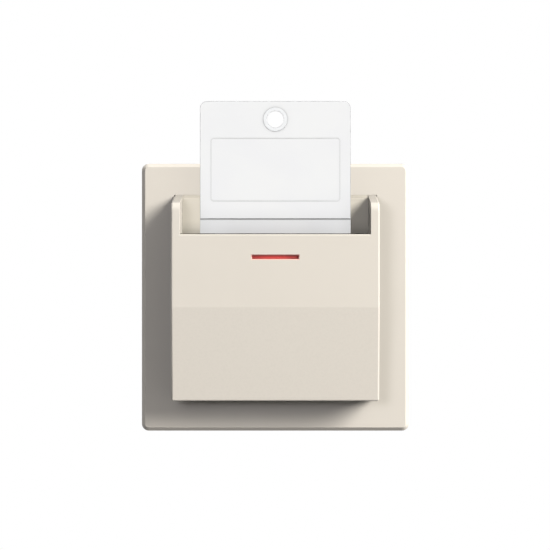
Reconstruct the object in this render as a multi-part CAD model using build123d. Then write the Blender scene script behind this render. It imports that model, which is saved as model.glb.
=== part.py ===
from build123d import *
import math
import os

# Hotel key card switch, flush wall type, one gang.
# Frame of the part: millimetres, X to the right, Z up, Y into the wall.
# Y = 0 is the wall plane, which is the back face of the steel mounting yoke, and the
# origin is the middle of the 60 mm box screw pattern. "Depth" d below means the
# distance in front of the wall, so Y = -d.

# ---------------------------------------------------------------- driving dimensions
# outer frame
frame_w = 81.0            # width and height of the cover frame
frame_d = 9.5             # front face of the frame, in front of the wall
frame_skin = 2.0
frame_corner_r = 2.1
frame_chamfer = 1.06      # round the front face, its two edges slightly softened
window_x = 30.68          # half width of the frame's window
window_h = 31.0           # half height of the frame's window
collar_t = 1.3

# card holder
holder_h = 30.6           # half width of the card holder
cheek_t = 2.6             # thickness of each cheek
holder_bot = -30.4
holder_top = 30.98
holder_back_d = 4.0       # how far back the holder's skirt reaches
front_d = 26.5            # front wall above the crease
front_bot_d = 23.4        # front wall at its lower edge, it leans back below the crease
crease_z = -2.75
front_t = 2.4
floor_t = 1.9
lip_z = 18.72             # upper edge of the front wall
cheek_front_z = 27.75     # top of the cheek where it meets the front fillet
cheek_front_r = 2.7
strip_t, strip_z0, strip_z1 = 0.45, 16.8, 18.98   # dark strip behind the lip

# pocket back plate
plate_d = 12.8
plate_t = 2.0
plate_top_front_z = 29.95

# indicator
slit_w, slit_z0, slit_z1 = 13.6, 11.45, 12.5
slit_r = 0.3              # rounding round the slit's front edge

# key card
card_w = 44.8
card_back_d, card_t = 18.0, 0.8
card_z0, card_z1 = -23.5, 58.45
card_r = 2.1
card_hole_z = 53.05
eyelet_r_in, eyelet_r_out = 2.5, 3.6
label_h, label_z0, label_z1 = 19.3, 28.55, 47.5
step_z = 23.6

# carriage
seat_t = 1.5
carriage_travel = 5.0
wedge_slope = 0.32        # depth gained by the plunger per mm of carriage travel
plunger_z = -14.5

# yoke
yoke_w = 71.0
yoke_t = 1.2
pattern = 60.0
slot_len, slot_r = 7.0, 2.1

# mechanism
base_h = 22.5             # half size of the mechanism tub
base_cut = 10.0           # its corner chamfer
base_back_y = 27.0
base_wall = 1.6
base_rear_wall = 2.5
entry_r = 1.6             # wire entries
entry_x, entry_z, entry_dx = 12.0, 13.0, 2.4

# claws
claw_z = -11.0
claw_pin_x, claw_pin_y = 24.2, 5.2
claw_screw_x = 26.8

os.makedirs("parts", exist_ok=True)


# ---------------------------------------------------------------- helpers
def bx(x0, x1, y0, y1, z0, z1):
    """A box between two corners."""
    return Pos((x0 + x1) / 2, (y0 + y1) / 2, (z0 + z1) / 2) * Box(
        abs(x1 - x0), abs(y1 - y0), abs(z1 - z0)
    )


def bd(x0, x1, d0, d1, z0, z1):
    """A box given by its depths in front of the wall."""
    return bx(x0, x1, -d1, -d0, z0, z1)


def cyl_y(x, z, y0, y1, r):
    return Pos(x, (y0 + y1) / 2, z) * Rot(90, 0, 0) * Cylinder(r, abs(y1 - y0))


def cyl_z(x, y, z0, z1, r):
    return Pos(x, y, (z0 + z1) / 2) * Cylinder(r, abs(z1 - z0))


def cyl_x(y, z, x0, x1, r):
    return Pos((x0 + x1) / 2, y, z) * Rot(0, 90, 0) * Cylinder(r, abs(x1 - x0))


def prism_x(pts_dz, x0, x1):
    """A profile in depth and height, extruded along X."""
    face = make_face(Polyline(*[(0, -d, z) for d, z in pts_dz], close=True))
    solid = extrude(face, amount=(x1 - x0), dir=(1, 0, 0))
    return Pos(x0, 0, 0) * solid


def prism_y(pts_xz, y0, y1):
    """A profile in X and Z, extruded along Y."""
    face = make_face(Polyline(*[(x, 0, z) for x, z in pts_xz], close=True))
    solid = extrude(face, amount=(y1 - y0), dir=(0, 1, 0))
    return Pos(0, y0, 0) * solid


def prism_z(pts_xy, z0, z1):
    """A profile in X and Y, extruded along Z."""
    face = make_face(Polyline(*[(x, y, 0) for x, y in pts_xy], close=True))
    solid = extrude(face, amount=(z1 - z0), dir=(0, 0, 1))
    return Pos(0, 0, z0) * solid


def rounded_y(half_x, half_z, y0, y1, r, cx=0.0, cz=0.0):
    """A block with rounded corners, its axis along Y."""
    plan = RectangleRounded(2 * half_x, 2 * half_z, r)
    solid = extrude(Plane.XZ * plan, amount=-(y1 - y0))
    b = solid.bounding_box()
    return Pos(cx, y0 - b.min.Y, cz) * solid


def slot_cut(cx, cz, length, r, y0, y1, along="x"):
    h = length / 2 - r
    if along == "x":
        body = bx(cx - h, cx + h, y0, y1, cz - r, cz + r)
        ends = [(cx - h, cz), (cx + h, cz)]
    else:
        body = bx(cx - r, cx + r, y0, y1, cz - h, cz + h)
        ends = [(cx, cz - h), (cx, cz + h)]
    for x, z in ends:
        body = body + cyl_y(x, z, y0, y1, r)
    return body


def octagon(h, cut):
    return [
        (-h + cut, -h), (h - cut, -h), (h, -h + cut), (h, h - cut),
        (h - cut, h), (-h + cut, h), (-h, h - cut), (-h, -h + cut),
    ]


def soften(solid, edges, r):
    """Round the edges, with a smaller radius if the first is too large."""
    for k in (1.0, 0.7, 0.4):
        try:
            out = fillet(edges, r * k)
            if out.is_valid and out.volume > 0:
                return out
        except Exception:
            pass
    print("not rounded", r, len(edges))
    return solid


def edges_at(solid, test):
    return ShapeList([e for e in solid.edges() if test(e.center(), e)])


def save(name, shape):
    solids = shape.solids() if not isinstance(shape, list) else [
        s for one in shape for s in one.solids()
    ]
    out = solids[0] if len(solids) == 1 else Compound(children=list(solids))
    out.label = name
    export_step(out, f"parts/{name}.step")
    return out


def helix_spring(cx, cy, z0, z1, r, wire, turns):
    """A compression spring between two heights, its wire's ends inside them."""
    h = (z1 - z0) - wire
    path = Helix(pitch=h / turns, height=h, radius=r)
    start = path @ 0
    tangent = path % 0
    section = Plane(origin=start, z_dir=tangent) * Circle(wire / 2)
    body = sweep(section, path=path)
    return Pos(cx, cy, z0 + wire / 2) * body


# front wall line: depth of the outer face at a height
def front_at(z):
    if z >= crease_z:
        return front_d
    k = (crease_z - z) / (crease_z - holder_bot)
    return front_d - k * (front_d - front_bot_d)


# ================================================================ outer frame
h = frame_w / 2
frame = rounded_y(h, h, -frame_d, 0, frame_corner_r)
front_edges = edges_at(frame, lambda c, e: abs(c.Y + frame_d) < 1e-4)
frame = chamfer(front_edges, frame_chamfer)
chamfer_edges = edges_at(
    frame,
    lambda c, e: abs(c.Y + frame_d) < 1e-4 or abs(c.Y + frame_d - frame_chamfer) < 1e-4,
)
frame = soften(frame, chamfer_edges, 0.22)
frame -= rounded_y(h - 2.0, h - 2.0, -(frame_d - frame_skin), 1, 1.2)
collar = bd(-window_x - collar_t, window_x + collar_t, 2.6, frame_d - 0.6,
            -window_h - collar_t, window_h + collar_t)
frame += collar
# ribs between the skirt and the collar
for s in (-1, 1):
    for c in (-24.0, -8.0, 8.0, 24.0):
        frame += bd(s * (window_h + 0.6), s * (h - 1.0), 3.0, frame_d - 0.8, c - 0.5, c + 0.5)
        frame += bd(c - 0.5, c + 0.5, 3.0, frame_d - 0.8, s * (window_h + 0.6), s * (h - 1.0))
# four pegs that centre the frame in the yoke
peg_x, peg_z, peg_r = 33.4, 19.0, 1.2
for sx in (-1, 1):
    for sz in (-1, 1):
        frame += cyl_y(sx * peg_x, sz * peg_z, -(frame_d - 0.8), -2.2, 1.9)
        frame += cyl_y(sx * peg_x, sz * peg_z, -3.0, -0.1, peg_r)
frame -= bd(-window_x, window_x, -1, frame_d + 1, -window_h, window_h)
win_edges = edges_at(
    frame,
    lambda c, e: abs(c.Y + frame_d) < 1e-4 and e.length > 50
    and (abs(abs(c.X) - window_x) < 0.01 or abs(c.Z + window_h) < 0.01),
)
frame = soften(frame, win_edges, 0.2)
# notch in the lower edge, for levering the frame off
frame -= bd(-4.0, 4.0, -1, 1.2, -h - 1, -h + 2.5)
save("outer_frame", frame)

# ================================================================ card holder cover
outer = [
    (holder_back_d, holder_bot), (front_bot_d, holder_bot), (front_d, crease_z),
    (front_d, cheek_front_z), (frame_d, holder_top), (holder_back_d, holder_top),
]
cover = prism_x(outer, -holder_h, holder_h)
inner_h = holder_h - cheek_t
# the pocket, open at the top and at the back
pocket = [
    (0, holder_bot + floor_t),
    (front_at(holder_bot + floor_t) - front_t, holder_bot + floor_t),
    (front_d - front_t, crease_z - 0.3),
    (front_d - front_t, 45), (0, 45),
]
cover -= prism_x(pocket, -inner_h, inner_h)
cover -= bd(-inner_h, inner_h, -1, 40, lip_z, 45)
# cheek's top front corner
top_front = edges_at(
    cover, lambda c, e: abs(c.Y + front_d) < 1e-3 and abs(c.Z - cheek_front_z) < 1e-3
)
cover = soften(cover, top_front, cheek_front_r)
# soft outer edges: sides, lower edge, lip
side_edges = edges_at(
    cover,
    lambda c, e: abs(abs(c.X) - holder_h) < 1e-3 and c.Y < -frame_d
    and not (abs(c.Z - holder_bot) < 1e-3 and e.length > 40),
)
cover = soften(cover, side_edges, 0.55)
low_edge = edges_at(
    cover, lambda c, e: abs(c.Z - holder_bot) < 0.05 and abs(c.Y + front_bot_d) < 0.3 and e.length > 40
)
cover = soften(cover, low_edge, 0.5)
lip_edges = edges_at(
    cover, lambda c, e: abs(c.Z - lip_z) < 1e-3 and abs(c.X) < 1 and e.length > 40
)
cover = soften(cover, lip_edges, 0.5)
inner_cheek = edges_at(
    cover,
    lambda c, e: abs(abs(c.X) - inner_h) < 1e-3 and c.Y < -front_d + 3.2 and c.Z > lip_z + 0.8
    and abs(c.Y) > 20 and abs(c.Y + front_d - front_t) > 0.3,
)
cover = soften(cover, inner_cheek, 0.1)
# indicator slit, with the lens seat on its inner side
zs = (slit_z0 + slit_z1) / 2
cover -= bd(-slit_w / 2, slit_w / 2, 20, 30, slit_z0, slit_z1)
slit_edges = edges_at(
    cover,
    lambda c, e: abs(c.Y + front_d) < 1e-3 and abs(c.X) < slit_w / 2 + 0.01
    and slit_z0 - 0.01 < c.Z < slit_z1 + 0.01,
)
cover = soften(cover, slit_edges, slit_r)
cover -= bd(-9.2, 9.2, front_d - front_t - 0.5, front_d - front_t + 1.0, zs - 2.2, zs + 2.2)
# vertical ribs that keep the card's front face off the wall
for s in (-1, 1):
    rib = [
        (19.0, -17.0), (front_at(-17.0) - front_t + 0.4, -17.0),
        (front_d - front_t + 0.4, crease_z), (front_d - front_t + 0.4, 16.5),
        (front_d - front_t - 1.5, 16.5), (19.0, 12.5),
    ]
    cover += prism_x(rib, s * 15 - 0.6, s * 15 + 0.6)
# snap recesses in the cheeks, for the back plate's side tabs
for s in (-1, 1):
    for z in (-16.0, 14.0):
        cover -= bd(s * (inner_h - 0.5), s * (inner_h + 1.25), 10.7, 12.9, z - 3.2, z + 3.2)
# spring seats on the floor
for s in (-1, 1):
    cover += cyl_z(s * 16, -17.0, holder_bot + floor_t - 0.2, holder_bot + floor_t + 0.9, 1.15)
save("card_holder_cover", cover)

# dark strip along the inner side of the lip, just proud of it: the card's face runs past it
strip = bd(-inner_h + 0.03, inner_h - 0.03, front_d - front_t - strip_t, front_d - front_t - 0.005,
           strip_z0, strip_z1)
strip_edges = edges_at(
    strip, lambda c, e: abs(c.Z - strip_z1) < 1e-4 and e.length > 40
)
strip = soften(strip, strip_edges, 0.08)
save("slot_edge_strip", strip)

# ================================================================ pocket back plate
plate_h = inner_h - 0.03
prof = [
    (holder_back_d, holder_top), (frame_d, holder_top), (plate_d, plate_top_front_z),
    (plate_d, holder_bot + floor_t + 0.15), (plate_d - plate_t, holder_bot + floor_t + 0.15),
    (plate_d - plate_t, 28.6), (holder_back_d, 28.6),
]
plate = prism_x(prof, -plate_h, plate_h)
top_edge = edges_at(
    plate, lambda c, e: abs(c.Z - plate_top_front_z) < 1e-3 and e.length > 40
)
plate = soften(plate, top_edge, 0.1)
# slot for the carriage's tongue, and the window of the light pipe
plate -= bd(-4.0, 4.0, 5, 20, -25.6, -11.4)
plate -= bd(-6.2, 6.2, 5, 20, zs - 1.2, zs + 1.2)
# ribs that keep the card's back face off the plate
for s in (-1, 1):
    rib = [(plate_d - 0.4, -17.0), (17.8, -17.0), (17.8, 12.5), (14.0, 16.5), (plate_d - 0.4, 16.5)]
    plate += prism_x(rib, s * 15 - 0.6, s * 15 + 0.6)
# side tabs
for s in (-1, 1):
    for z in (-16.0, 14.0):
        plate += bd(s * (plate_h - 0.5), s * (inner_h + 1.1), 10.85, 12.6, z - 3.0, z + 3.0)
# four legs with ratchet teeth, which grip the windows of the yoke
leg_x, leg_z = 10.0, 26.5
for sx in (-1, 1):
    for sz in (-1, 1):
        z0, z1 = sorted((sz * (leg_z - 0.6), sz * (leg_z + 0.6)))
        plate += bx(sx * leg_x - 2.5, sx * leg_x + 2.5, -(plate_d - plate_t) - 0.4, 3.4, z0, z1)
        for k in range(5):
            y = -1.6 + k * 1.0
            zo = sz * (leg_z + 0.6)
            tooth = [(-y, zo - sz * 0.1), (-y, zo + sz * 0.28), (-y - 0.8, zo - sz * 0.1)]
            plate += prism_x(tooth, sx * leg_x - 2.3, sx * leg_x + 2.3)
# stiffening ribs behind
for x in (-18.0, 18.0):
    plate += bd(x - 0.5, x + 0.5, 9.4, 11.0, -27.0, 28.8)
plate += bd(-18.0, 18.0, 9.4, 11.0, 19.5, 20.5)
# holes of the leaf spring rivets
for s in (-1, 1):
    plate -= cyl_y(s * 21.0, 9.0, -13.5, -10.0, 0.8)
save("pocket_back_plate", plate)

# ================================================================ indicator
lens_bar = bd(-slit_w / 2 + 0.1, slit_w / 2 - 0.1, front_d - front_t + 0.4, front_d - 0.6,
              slit_z0 + 0.1, slit_z1 - 0.1)
bar_edges = edges_at(lens_bar, lambda c, e: abs(c.Y + front_d - 0.6) < 1e-4)
lens_bar = soften(lens_bar, bar_edges, 0.2)
lens = lens_bar + bd(-9.0, 9.0, front_d - front_t, front_d - front_t + 0.95, zs - 2.0, zs + 2.0)
save("indicator_lens", lens)

pipe = bd(-6.05, 6.05, 9.9, plate_d - 0.05, zs - 1.05, zs + 1.05)
pipe_edges = edges_at(pipe, lambda c, e: abs(c.Y + plate_d - 0.05) < 1e-4)
pipe = soften(pipe, pipe_edges, 0.15)
pipe += bd(-7.5, 7.5, 9.75, plate_d - plate_t - 0.02, zs - 2.4, zs + 2.4)
save("light_pipe", pipe)

# ================================================================ key card and eyelet
card_f = card_back_d + card_t
cz = (card_z0 + card_z1) / 2
ch = (card_z1 - card_z0) / 2
card = rounded_y(card_w / 2, ch, -card_f, -card_back_d, card_r, 0, cz)
rim = edges_at(card, lambda c, e: True)
rim = ShapeList([e for e in card.edges() if abs(e.center().Y + card_f) < 1e-4 or abs(e.center().Y + card_back_d) < 1e-4])
card = soften(card, rim, 0.18)
card -= cyl_y(0, card_hole_z, -25, -10, 3.02)
# label field outline: a fine groove
gw, gd = 0.3, 0.12
lz = (label_z0 + label_z1) / 2
lh = (label_z1 - label_z0) / 2
ring = rounded_y(label_h, lh, -card_f - 1, -card_f + gd, 1.0, 0, lz)
ring -= rounded_y(label_h - gw, lh - gw, -card_f - 2, -card_f + 1, 0.75, 0, lz)
card -= ring
# step across the card: below it the blade is thinner
card -= bd(-40, 40, card_f - 0.06, 30, card_z0 - 1, step_z)
card -= bd(-40, 40, card_f - 0.3, 30, step_z - 0.5, step_z)
save("key_card", card)

eyelet = cyl_y(0, card_hole_z, -card_f - 0.01, -card_back_d + 0.01, 2.98)
eyelet += cyl_y(0, card_hole_z, -card_f - 0.36, -card_f - 0.01, eyelet_r_out)
eyelet += cyl_y(0, card_hole_z, -card_back_d + 0.01, -card_back_d + 0.31, eyelet_r_out)
eyelet -= cyl_y(0, card_hole_z, -25, -10, eyelet_r_in)
eye_edges = ShapeList([
    e for e in eyelet.edges()
    if (abs(e.center().Y + card_f + 0.36) < 1e-3 or abs(e.center().Y + card_back_d - 0.31) < 1e-3)
])
eyelet = soften(eyelet, eye_edges, 0.16)
save("card_eyelet", eyelet)

# ================================================================ card leaf springs
leaf_t = 0.3
leaves, leaf_rivets = [], []
for s in (-1, 1):
    x = s * 21.0
    back_line = [(plate_d + 0.02, 12.0), (plate_d + 0.02, 5.9), (15.95, -1.15), (17.6, -6.0), (16.85, -9.3), (15.4, -10.75)]
    front_line = [(plate_d + 0.32, 12.0), (plate_d + 0.32, 6.1), (16.25, -0.95), (17.95, -6.0), (17.15, -9.5), (15.6, -11.05)]
    strip = prism_x(front_line + back_line[::-1], x - 1.5, x + 1.5)
    strip -= cyl_y(x, 9.0, -14, -12, 0.85)
    leaves.append(strip)
    rv = cyl_y(x, 9.0, -(plate_d + 0.33), -(plate_d - plate_t - 0.02), 0.75)
    rv += cyl_y(x, 9.0, -(plate_d + 0.33 + 0.45), -(plate_d + 0.33), 1.3)
    rv += cyl_y(x, 9.0, -(plate_d - plate_t - 0.02), -(plate_d - plate_t - 0.02) + 0.45, 1.3)
    leaf_rivets.append(rv)
save("card_leaf_springs", leaves)
save("leaf_spring_rivets", leaf_rivets)

# ================================================================ carriage and its springs
seat_top = card_z0 - 0.03
seat_bot = seat_top - seat_t
carriage = bd(-24.0, 24.0, 13.3, 20.0, seat_bot, seat_top)
seat_edges = edges_at(carriage, lambda c, e: abs(abs(c.X) - 24.0) < 1e-3 and abs(c.Z - (seat_top + seat_bot) / 2) < 0.01)
carriage = soften(carriage, seat_edges, 1.2)
# low walls in front of and behind the card's lower edge
carriage += bd(-12.0, 12.0, 19.1, 20.0, seat_top - 0.2, seat_top + 1.6)
carriage += bd(-12.0, 12.0, 16.6, 17.7, seat_top - 0.2, seat_top + 1.6)
# tongue through the back plate, with the guide flange behind it
carriage += bd(-3.6, 3.6, 9.4, 13.6, seat_bot, -17.2)
carriage += bd(-3.6, 3.6, 13.2, 16.8, seat_bot, seat_top + 1.6)
carriage += bd(-6.4, 6.4, 9.2, 10.6, seat_bot, -11.2)
# wedge that drives the plunger
w0 = 6.5


def wedge_d(z):
    return w0 - wedge_slope * (z - plunger_z)


wedge = [
    (9.5, -23.0), (wedge_d(-23.0), -23.0), (wedge_d(-12.4), -12.4), (wedge_d(-12.4), -11.2), (9.5, -11.2),
]
carriage += prism_x(wedge, -2.2, 2.2)
# cups under the seat that hold the springs
for s in (-1, 1):
    carriage += cyl_z(s * 16, -17.0, seat_bot - 0.8, seat_bot + 0.1, 1.15)
save("card_carriage", carriage)

floor_z = holder_bot + floor_t
springs = [
    helix_spring(s * 16, -17.0, floor_z + 0.03, seat_bot - 0.03, 1.75, 0.45, 4.0)
    for s in (-1, 1)
]
save("carriage_return_springs", springs)

# ================================================================ mounting yoke
yh = yoke_w / 2
yoke = rounded_y(yh, yh, -yoke_t, 0, 3.0)
yoke -= prism_y(octagon(base_h + 0.35, base_cut), -5, 5)
for s in (-1, 1):
    yoke -= slot_cut(s * pattern / 2, 0, slot_len, slot_r, -5, 5, "x")
    yoke -= slot_cut(0, s * pattern / 2, slot_len, slot_r, -5, 5, "z")
    yoke -= cyl_y(s * claw_screw_x, claw_z, -5, 5, 1.45)
    for t in (-1, 1):
        yoke -= cyl_y(s * peg_x, t * peg_z, -5, 5, peg_r + 0.2)
        z0, z1 = sorted((t * (leg_z - 0.75), t * (leg_z + 0.95)))
        yoke -= bx(s * leg_x - 2.7, s * leg_x + 2.7, -5, 5, z0, z1)
# four tabs, bent forward and over the flange of the mechanism
flange_d = 2.9
tab_w = 2.6
for sx in (-1, 1):
    for cz_t in (-19.6, 19.6):
        # the tab stands on the diagonal edge's end, beside the flange's notch
        x0, x1 = sorted((sx * 24.9, sx * 25.9))
        z0, z1 = cz_t - tab_w / 2, cz_t + tab_w / 2
        yoke += bd(x0, x1, 0.6, flange_d + 1.0, z0, z1)
        xa, xb = sorted((sx * 22.6, sx * 25.9))
        yoke += bd(xa, xb, flange_d + 0.05, flange_d + 1.0, z0, z1)
save("mounting_yoke", yoke)

# ================================================================ mechanism base
bb = prism_y(octagon(base_h, base_cut), -3.0, base_back_y)
base = bb
# flange in front of the yoke, between the bent tabs
flange = bd(-24.7, 24.7, yoke_t + 0.02, flange_d, -24.7, 24.7)
base += flange
cav = prism_y(octagon(base_h - base_wall, base_cut - 0.66), -10, base_back_y - base_rear_wall)
base -= cav
# room for the claw screws and their heads
for s in (-1, 1):
    base -= cyl_y(s * claw_screw_x, claw_z, -5, 0, 3.1)
# screw bosses
boss = [(19.2, 6.8), (-19.2, 6.8), (19.2, -6.8), (-19.2, -6.8)]
for x, z in boss:
    b = cyl_y(x, z, -3.0, base_back_y - 1.0, 2.3)
    s = 1 if x > 0 else -1
    b += bx(min(x, s * 21.6), max(x, s * 21.6), -3.0, base_back_y - 1.0, z - 2.3, z + 2.3)
    base += b
    base -= cyl_y(x, z, -4.0, 8.0, 1.0)
# wire entries
entries = []
for sx in (-1, 1):
    for sz in (-1, 1):
        for k in (-1, 1):
            x, z = sx * entry_x + k * entry_dx, sz * entry_z
            entries.append((x, z))
            base -= cyl_y(x, z, base_back_y - base_rear_wall - 1, base_back_y + 1, entry_r)
            mouth = Pos(x, base_back_y - 0.24, z) * Rot(-90, 0, 0) * Cone(entry_r, entry_r + 0.52, 0.52)
            base -= mouth
# release button windows
for s in (-1, 1):
    base -= bx(s * 12.0 - 2.2, s * 12.0 + 2.2, base_back_y - base_rear_wall - 1, base_back_y + 1, -3.2, 3.2)
# dividing walls between the terminals and the switch chamber
for s in (-1, 1):
    base += bx(s * 5.2 - 0.5, s * 5.2 + 0.5, 11.0, base_back_y - 1.5, -20.9, 20.9)
# guide blocks for the clamp springs
for sx in (-1, 1):
    for sz in (-1, 1):
        z0, z1 = sorted((sz * 8.3, sz * 9.35))
        base += bx(sx * 12.0 - 4.0, sx * 12.0 + 4.0, 13.0, base_back_y - 1.5, z0, z1)
        base -= bx(sx * 12.0 - 1.1, sx * 12.0 + 1.1, 19.9, base_back_y - base_rear_wall, z0 - 0.1, z1 + 0.1)
# rounded rear edge, a shallow frame round each button window, ribs on the flanks
rear = edges_at(base, lambda c, e: abs(c.Y - base_back_y) < 1e-3 and max(abs(c.X), abs(c.Z)) > 17.4 and e.length > 8)
base = soften(base, rear, 0.8)
for s in (-1, 1):
    rim = bx(s * 12.0 - 3.4, s * 12.0 + 3.4, base_back_y - 0.2, base_back_y + 0.5, -4.4, 4.4)
    rim -= bx(s * 12.0 - 2.2, s * 12.0 + 2.2, base_back_y - 1, base_back_y + 1, -3.2, 3.2)
    base += rim
    for z in (3.0, 9.0):
        x0, x1 = sorted((s * (base_h - 0.3), s * (base_h + 0.3)))
        base += bx(x0, x1, 4.0, base_back_y - 4.0, z - 0.6, z + 0.6)
for s in (-1, 1):
    for x in (-8.0, 0.0, 8.0):
        z0, z1 = sorted((s * (base_h - 0.3), s * (base_h + 0.3)))
        base += bx(x - 0.6, x + 0.6, 4.0, base_back_y - 4.0, z0, z1)
# strip length gauge, a shallow groove of 11 mm on the upper flank
base -= bx(-5.5, 5.5, 6.0, 7.0, base_h - 0.3, base_h + 1) - bx(-0.7, 0.7, 5, 8, base_h - 1, base_h + 2)
# ears that carry the claw pins
for s in (-1, 1):
    for z0, z1 in ((-16.3, -14.9), (-7.1, -5.7)):
        x0, x1 = sorted((s * (21.5 if z0 > -10 else 18.3), s * 25.6))
        base += bx(x0, x1, 2.9, 7.2, z0, z1)
    base -= cyl_z(s * claw_pin_x, claw_pin_y, -20, -3, 0.82)
save("mechanism_base", base)

# ================================================================ mechanism cover
lid = prism_y(octagon(base_h - 0.2, base_cut), -4.6, -3.02)
spigot = prism_y(octagon(base_h - base_wall - 0.15, base_cut - 0.7), -3.1, -1.4)
spigot -= prism_y(octagon(base_h - base_wall - 1.4, base_cut - 1.2), -4, 0)
for x, z in boss:
    s = 1 if x > 0 else -1
    spigot -= cyl_y(x, z, -3.02, 0, 2.6)
    x0, x1 = sorted((s * 18.6, s * 25))
    spigot -= bx(x0, x1, -3.02, 0, z - 2.5, z + 2.5)
lid += spigot
# plunger sleeve
lid += bx(-3.4, 3.4, -4.0, 0.4, plunger_z - 3.4, plunger_z + 3.4)
lid -= bx(-2.0, 2.0, -10, 10, plunger_z - 2.0, plunger_z + 2.0)
for x, z in boss:
    lid -= cyl_y(x, z, -6, 0, 1.25)
# posts of the lamp board
for s in (-1, 1):
    lid += cyl_y(s * 7.0, zs, -6.0, -4.3, 1.4)
    lid += cyl_y(s * 7.0, zs, -7.3, -5.8, 0.6)
    lid -= cyl_y(s * 4.0, 16.4, -10, 0, 0.6)
# room beside the bent tabs
for sx in (-1, 1):
    for cz_t in (-19.6, 19.6):
        x0, x1 = sorted((sx * 22.0, sx * 26))
        lid -= bd(x0, x1, 2.5, 6, cz_t - 1.8, cz_t + 1.8)
save("mechanism_cover", lid)

screws = []
for x, z in boss:
    sc = cyl_y(x, z, -4.62, 6.5, 0.95)
    head = cyl_y(x, z, -5.7, -4.62, 1.9)
    head -= bx(x - 1.4, x + 1.4, -6.2, -5.15, z - 0.25, z + 0.25)
    head -= bx(x - 0.25, x + 0.25, -6.2, -5.15, z - 1.4, z + 1.4)
    screws.append(sc + head)
save("cover_screws", screws)

# ================================================================ plunger
# its round nose rests on the wedge, and its rear end on the contact blade
nose_r = 1.5
nose_c = w0 - (nose_r + 0.05) * math.sqrt(1 + wedge_slope ** 2)   # depth of the nose's centre
plunger = bd(-1.9, 1.9, -6.4, nose_c, plunger_z - 1.5, plunger_z + 1.5)
plunger += cyl_x(-nose_c, plunger_z, -1.9, 1.9, nose_r)
plunger += bd(-2.9, 2.9, -3.6, -2.2, plunger_z - 2.6, plunger_z + 2.6)
plunger += cyl_x(6.4, plunger_z, -1.9, 1.9, 1.0)
save("plunger", plunger)

# ================================================================ contact blade and contacts
blade_f = 7.45            # front face of the blade at rest, Y
blade_t = 0.3
pivot_z = 14.0
blade_end = -20.7
blade = bx(-2.5, 2.5, blade_f, blade_f + blade_t, blade_end, pivot_z)
tip_z = -18.9
blade -= cyl_y(0, 12.0, 5, 10, 0.85)
blade -= cyl_y(0, tip_z, 5, 10, 0.8)
ends = edges_at(blade, lambda c, e: abs(abs(c.X) - 2.5) < 1e-3 and abs(c.Z - blade_end) < 1e-3)
blade = soften(blade, ends, 1.2)
save("contact_blade", blade)

tip = cyl_y(0, tip_z, blade_f - 0.3, blade_f + blade_t + 0.3, 0.78)
tip += cyl_y(0, tip_z, blade_f - 0.75, blade_f - 0.005, 1.5)
tip += cyl_y(0, tip_z, blade_f + blade_t + 0.005, blade_f + blade_t + 0.75, 1.5)
tip_edges = ShapeList([
    e for e in tip.edges()
    if abs(e.center().Y - (blade_f - 0.75)) < 1e-3 or abs(e.center().Y - (blade_f + blade_t + 0.75)) < 1e-3
])
tip = soften(tip, tip_edges, 0.35)
save("moving_contact_tip", tip)

# common terminal: the blade's root is riveted to it
com_y = blade_f + blade_t + 0.2
bar_z = entry_z + entry_r + 0.3
com = bx(-4.0, 4.0, com_y, com_y + 0.8, 7.0, bar_z + 0.8)
com += bx(-16.6, -3.0, com_y, com_y + 0.8, bar_z - 3.0, bar_z + 0.8)
com += bx(-16.6, -7.4, com_y, 21.5, bar_z, bar_z + 0.8)
com += bx(-2.6, 2.6, com_y - 0.18, com_y + 0.1, 9.0, 13.8)
com -= cyl_y(0, 12.0, 5, 10, 0.72)
save("common_terminal", com)

riv = cyl_y(0, 12.0, blade_f - 0.2, com_y + 0.83, 0.7)
riv += cyl_y(0, 12.0, blade_f - 0.75, blade_f - 0.2, 1.4)
riv += cyl_y(0, 12.0, com_y + 0.82, com_y + 1.35, 1.4)
save("blade_rivet", riv)

# neutral terminal: a bar in the upper right place, with a tab for the lamp lead
neu = bx(7.4, 16.6, com_y, 21.5, bar_z, bar_z + 0.8)
neu += bx(5.9, 16.6, com_y, com_y + 0.8, bar_z - 1.0, bar_z + 0.8)
save("neutral_terminal", neu)

# working contact, behind the blade: touched when a card is in
no_y = blade_f + blade_t + 0.75 + 0.03
nof = no_y + 0.6
no = bx(-10.6, 2.6, nof, nof + 0.7, -20.7, -18.6)
no += bx(-2.6, 2.6, nof, nof + 0.7, -20.7, -17.1)
no += bx(-10.6, -7.4, nof, nof + 0.7, -20.7, -bar_z)
no += bx(-16.6, -7.4, nof, 21.5, -bar_z - 0.8, -bar_z)
no -= cyl_y(0, tip_z, nof - 1, nof + 2, 0.8)
save("contact_strip_open", no)

# resting contact, in front of the blade: touched when the card is out
theta = (carriage_travel * wedge_slope) / (pivot_z - plunger_z)
move = math.sin(theta) * (pivot_z - tip_z)
ncf = blade_f - 0.75 - move - 0.09
nc_back = ncf - 0.6
nc = bx(-2.6, 2.6, nc_back - 0.7, nc_back, -20.7, -17.3)
nc += bx(2.0, 10.6, nc_back - 0.7, nc_back, -20.7, -18.6)
nc += bx(7.4, 10.6, nc_back - 0.7, nc_back, -20.7, -bar_z)
nc += bx(7.4, 16.6, nc_back - 0.7, 21.5, -bar_z - 0.8, -bar_z)
nc -= cyl_y(0, tip_z, nc_back - 2, nc_back + 1, 0.8)
save("contact_strip_closed", nc)

fix = []
t1 = cyl_y(0, tip_z, no_y, nof - 0.005, 1.6) + cyl_y(0, tip_z, nof - 0.01, nof + 0.9, 0.75)
t2 = cyl_y(0, tip_z, nc_back + 0.005, ncf, 1.6) + cyl_y(0, tip_z, nc_back - 0.9, nc_back + 0.01, 0.75)
fix = [t1, t2]
save("fixed_contact_tips", fix)

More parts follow.
